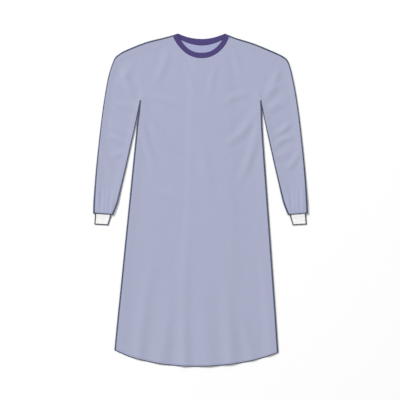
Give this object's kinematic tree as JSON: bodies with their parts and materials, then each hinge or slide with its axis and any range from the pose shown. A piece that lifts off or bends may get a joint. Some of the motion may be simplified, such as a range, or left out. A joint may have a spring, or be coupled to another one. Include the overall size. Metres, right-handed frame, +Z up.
{
  "type": "surgical gown",
  "caption": "Long-sleeved surgical gown laid flat on its back: A-line body with a bowed hem, bound round neck, knitted cuffs and an overlapping open back.",
  "frame": {"origin": "on the surface that the gown lies on, below the middle of its overall length and width", "axes": "+X towards the gown's left sleeve, +Y up the garment from hem to neck, +Z up from the surface, out of the gown's front"},
  "size_m": [0.806, 1.2486, 0.0072],
  "materials": {
    "gown_fabric": "matt lavender-blue nonwoven",
    "neck_binding": "matt purple knitted binding",
    "cuff_knit": "white rib knit"
  },
  "bodies": {
    "root": {"front": "gown_fabric", "back_left": "gown_fabric", "back_right": "gown_fabric", "sleeve_left": "gown_fabric", "sleeve_right": "gown_fabric", "cuff_left": "cuff_knit", "cuff_right": "cuff_knit", "neck_binding": "neck_binding"}
  },
  "joints": []
}
